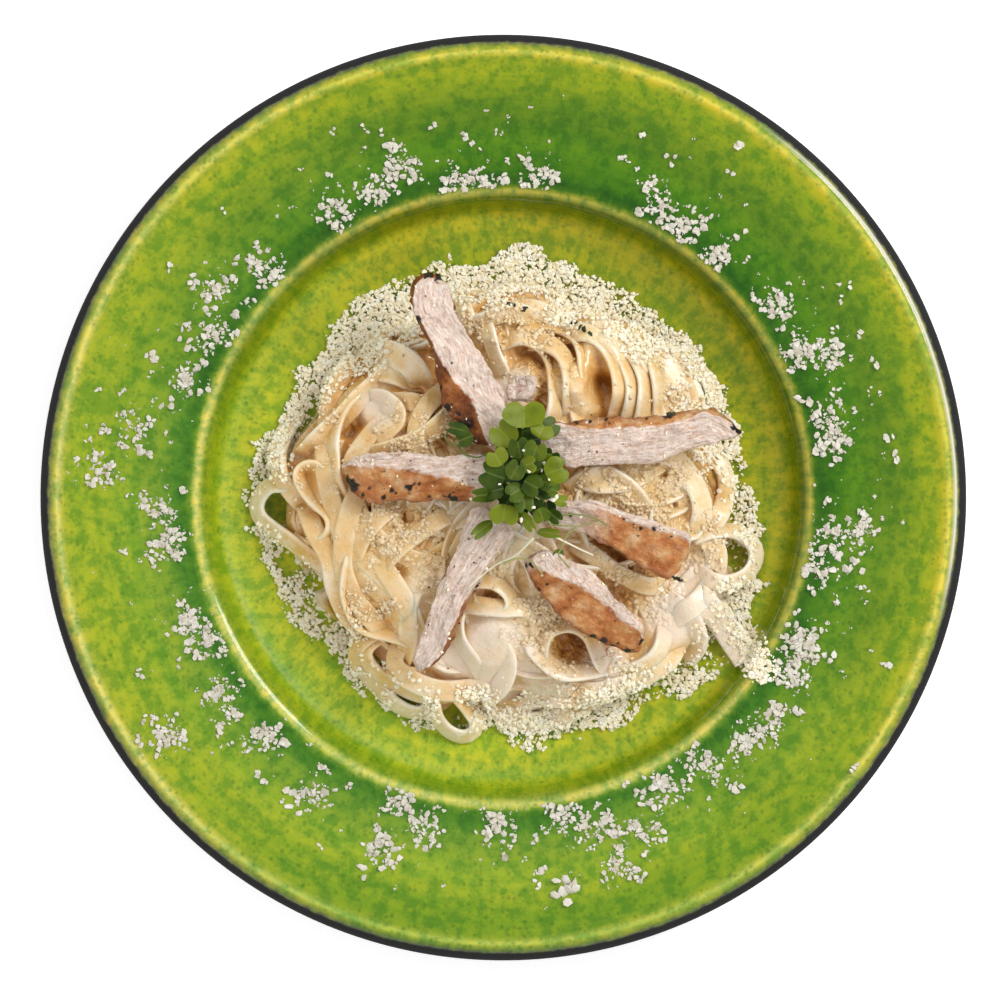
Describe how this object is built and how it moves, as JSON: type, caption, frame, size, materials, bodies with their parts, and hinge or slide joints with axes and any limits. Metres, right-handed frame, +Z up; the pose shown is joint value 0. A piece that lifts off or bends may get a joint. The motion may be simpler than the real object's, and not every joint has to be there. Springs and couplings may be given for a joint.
{
  "type": "plated fettuccine alfredo",
  "caption": "Cream-coated ribbon noodles heaped in a wide-rimmed glazed pasta plate, topped with strips of grilled chicken, microgreens and grated hard cheese.",
  "frame": {"origin": "on the plate's axis, on the plane that its foot stands on", "axes": "+Z up along the plate's axis, +Y away from the diner, +X to the diner's right"},
  "size_m": [0.28, 0.28, 0.0619],
  "materials": {
    "plate_glaze": "gloss, mottled green glaze with a black edge",
    "fettuccine": "moist, coated in cream sauce",
    "chicken": "pale cut meat with browned, charred skin",
    "greens": "satin leaf",
    "cheese": "dry grated hard cheese"
  },
  "bodies": {
    "root": {"plate": "plate_glaze", "fettuccine_heap": "fettuccine", "chicken_slice_1": "chicken", "chicken_slice_2": "chicken", "chicken_slice_3": "chicken", "chicken_slice_4": "chicken", "chicken_slice_5": "chicken", "chicken_slice_6": "chicken", "microgreens": "greens"}
  },
  "joints": []
}
